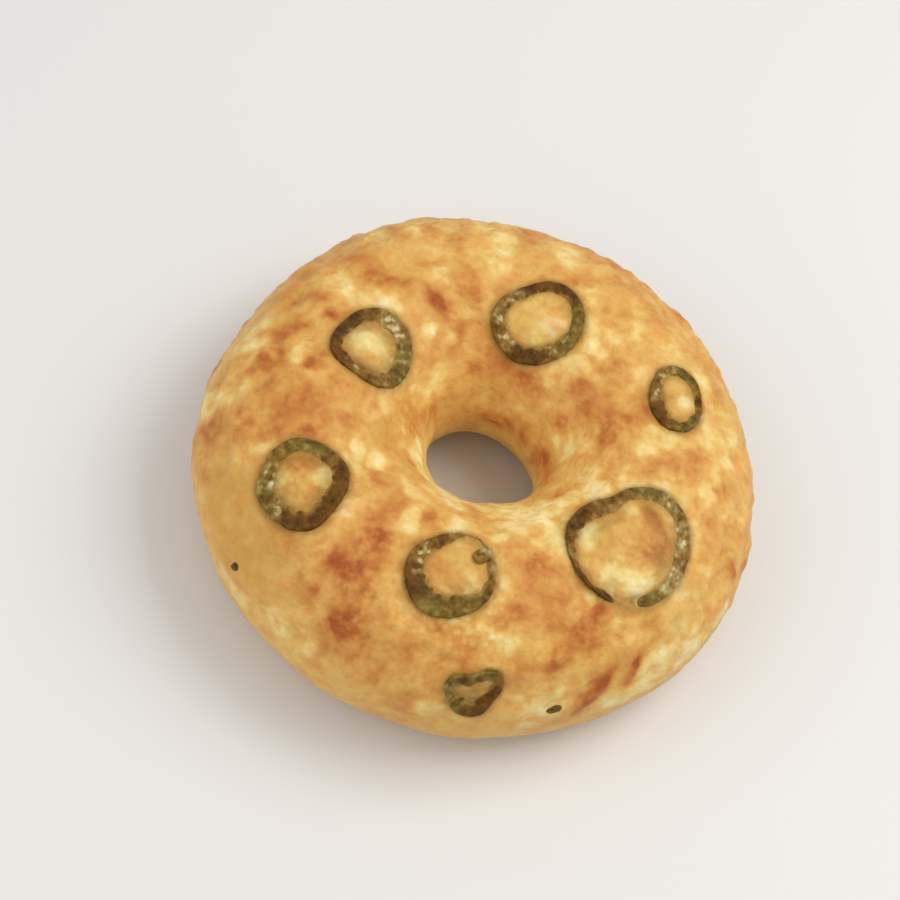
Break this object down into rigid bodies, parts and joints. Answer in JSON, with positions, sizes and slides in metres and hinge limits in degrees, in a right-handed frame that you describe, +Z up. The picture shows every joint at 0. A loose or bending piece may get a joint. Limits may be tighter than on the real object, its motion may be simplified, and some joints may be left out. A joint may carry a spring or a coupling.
{
  "type": "bagel",
  "caption": "Round baked bread with a hole, its mottled golden cheese crust carrying sliced green pepper rings half sunk in the cheese; flat underside.",
  "frame": {"origin": "on the resting plane, under the middle of the outline", "axes": "+Z up out of the crust, +X and +Y across the bread; the hole runs along Z"},
  "size_m": [0.1153, 0.1149, 0.0392],
  "materials": {
    "crust": "bread crust under mottled baked cheese, cream to rust, satin",
    "pepper": "baked green pepper, dark olive skin and paler flesh, moist"
  },
  "bodies": {
    "root": {"bagel": "crust", "pepper_ring_left": "pepper", "pepper_ring_back": "pepper", "pepper_ring_right_back": "pepper", "pepper_ring_left_front": "pepper", "pepper_ring_front": "pepper", "pepper_ring_right_front": "pepper", "pepper_ring_front_side": "pepper"}
  },
  "joints": []
}
